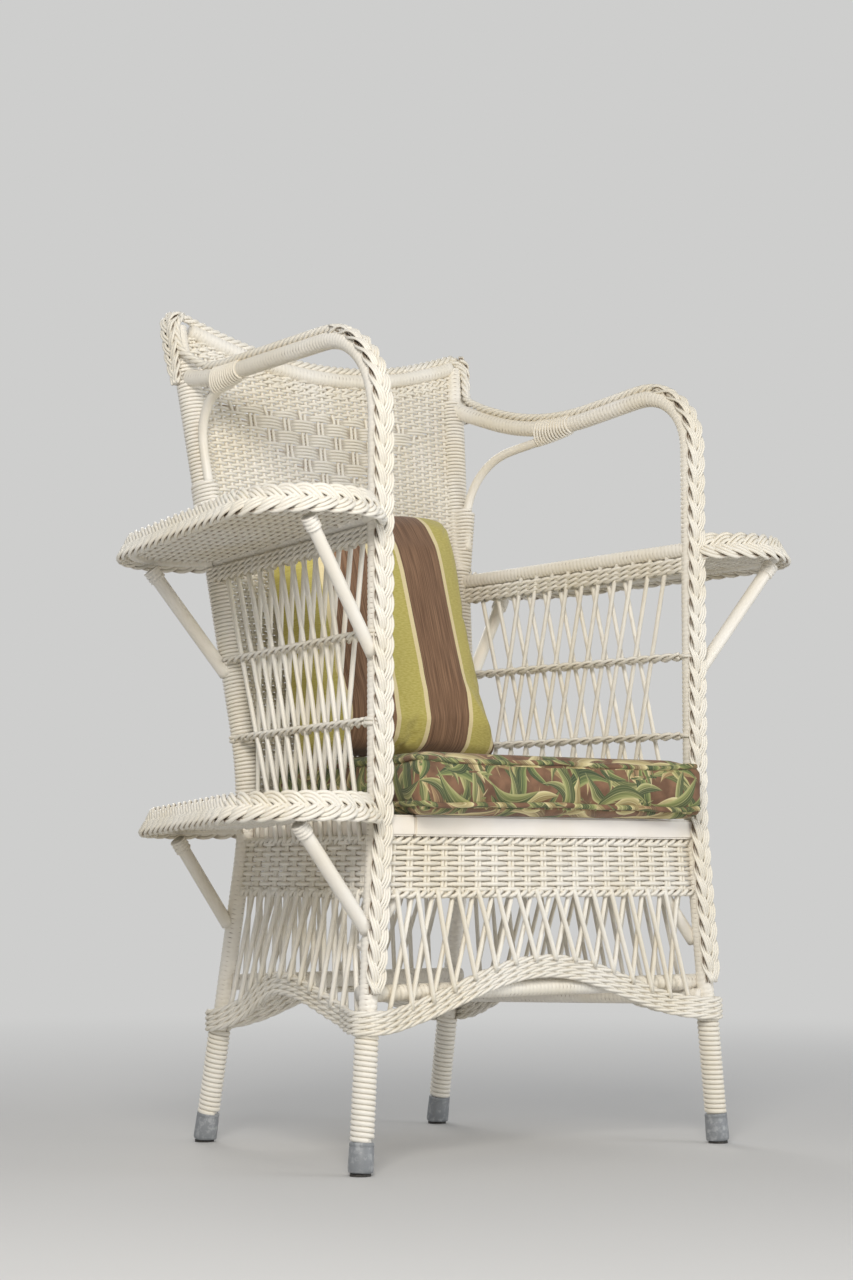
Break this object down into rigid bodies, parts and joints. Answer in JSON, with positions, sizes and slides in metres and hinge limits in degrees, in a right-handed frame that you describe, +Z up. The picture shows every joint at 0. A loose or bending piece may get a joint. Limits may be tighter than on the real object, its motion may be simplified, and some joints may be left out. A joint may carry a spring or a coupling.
{
  "type": "wicker armchair",
  "caption": "Painted wicker armchair with bent-pole arms, half-moon side shelves, scalloped lattice apron, wrapped legs and loose seat and back cushions.",
  "frame": {"origin": "on the floor, in the middle of the chair's width and depth", "axes": "+Z up, -Y towards the front of the seat, +X to the viewer's right from the front"},
  "size_m": [0.8536, 0.491, 1.055],
  "materials": {
    "painted_pole": "satin paint",
    "painted_weave": "satin paint",
    "painted_board": "satin paint",
    "ferrule_grey": "matte",
    "glide_dark": "matte",
    "seat_fabric": "woven cotton",
    "back_fabric": "woven cotton"
  },
  "bodies": {
    "frame": {"apron_band_back": "painted_weave", "apron_band_front": "painted_weave", "apron_band_left": "painted_weave", "apron_band_right": "painted_weave", "apron_border_back": "painted_weave", "apron_border_front": "painted_weave", "apron_border_left": "painted_weave", "apron_border_right": "painted_weave", "apron_lattice_back": "painted_weave", "apron_lattice_front": "painted_weave", "apron_lattice_left": "painted_weave", "apron_lattice_right": "painted_weave", "arm_brace_left": "painted_pole", "arm_brace_right": "painted_pole", "arm_rail_left": "painted_pole", "arm_rail_right": "painted_pole", "arm_trim_left": "painted_weave", "arm_trim_right": "painted_weave", "back_panel": "painted_weave", "back_post_left": "painted_pole", "back_post_right": "painted_pole", "corner_braces": "painted_pole", "front_braid_left": "painted_weave", "front_braid_right": "painted_weave", "front_post_left": "painted_pole", "front_post_right": "painted_pole", "leg_ferrules": "ferrule_grey", "leg_glides": "glide_dark", "leg_winding_back_left": "painted_weave", "leg_winding_back_right": "painted_weave", "leg_winding_front_left": "painted_weave", "leg_winding_front_right": "painted_weave", "seat_rail_back": "painted_board", "seat_rail_front": "painted_board", "seat_rail_left": "painted_board", "seat_rail_right": "painted_board", "seat_slats": "painted_board", "shelf_deck_lower_left": "painted_weave", "shelf_deck_upper_left": "painted_weave", "shelf_deck_upper_right": "painted_weave", "shelf_rim_lower_left": "painted_weave", "shelf_rim_upper_left": "painted_weave", "shelf_rim_upper_right": "painted_weave", "shelf_struts_lower_left": "painted_pole", "shelf_struts_upper_left": "painted_pole", "shelf_struts_upper_right": "painted_pole", "side_lattice_left": "painted_weave", "side_lattice_right": "painted_weave", "side_rows_left": "painted_weave", "side_rows_right": "painted_weave", "stretcher_back": "painted_pole", "stretcher_front": "painted_pole", "stretcher_left": "painted_pole", "stretcher_right": "painted_pole", "top_rail": "painted_pole", "top_trim": "painted_weave"},
    "seat_cushion": {"seat_cushion": "seat_fabric"},
    "back_cushion": {"back_cushion": "back_fabric"}
  },
  "joints": [
    {"name": "seat_cushion_lift", "type": "slide", "parent": "frame", "child": "seat_cushion", "axis": [0, 0, 1], "range_m": [0, 0.62]},
    {"name": "back_cushion_lift", "type": "slide", "parent": "seat_cushion", "child": "back_cushion", "axis": [0, 0, 1], "range_m": [0, 0.6]}
  ]
}
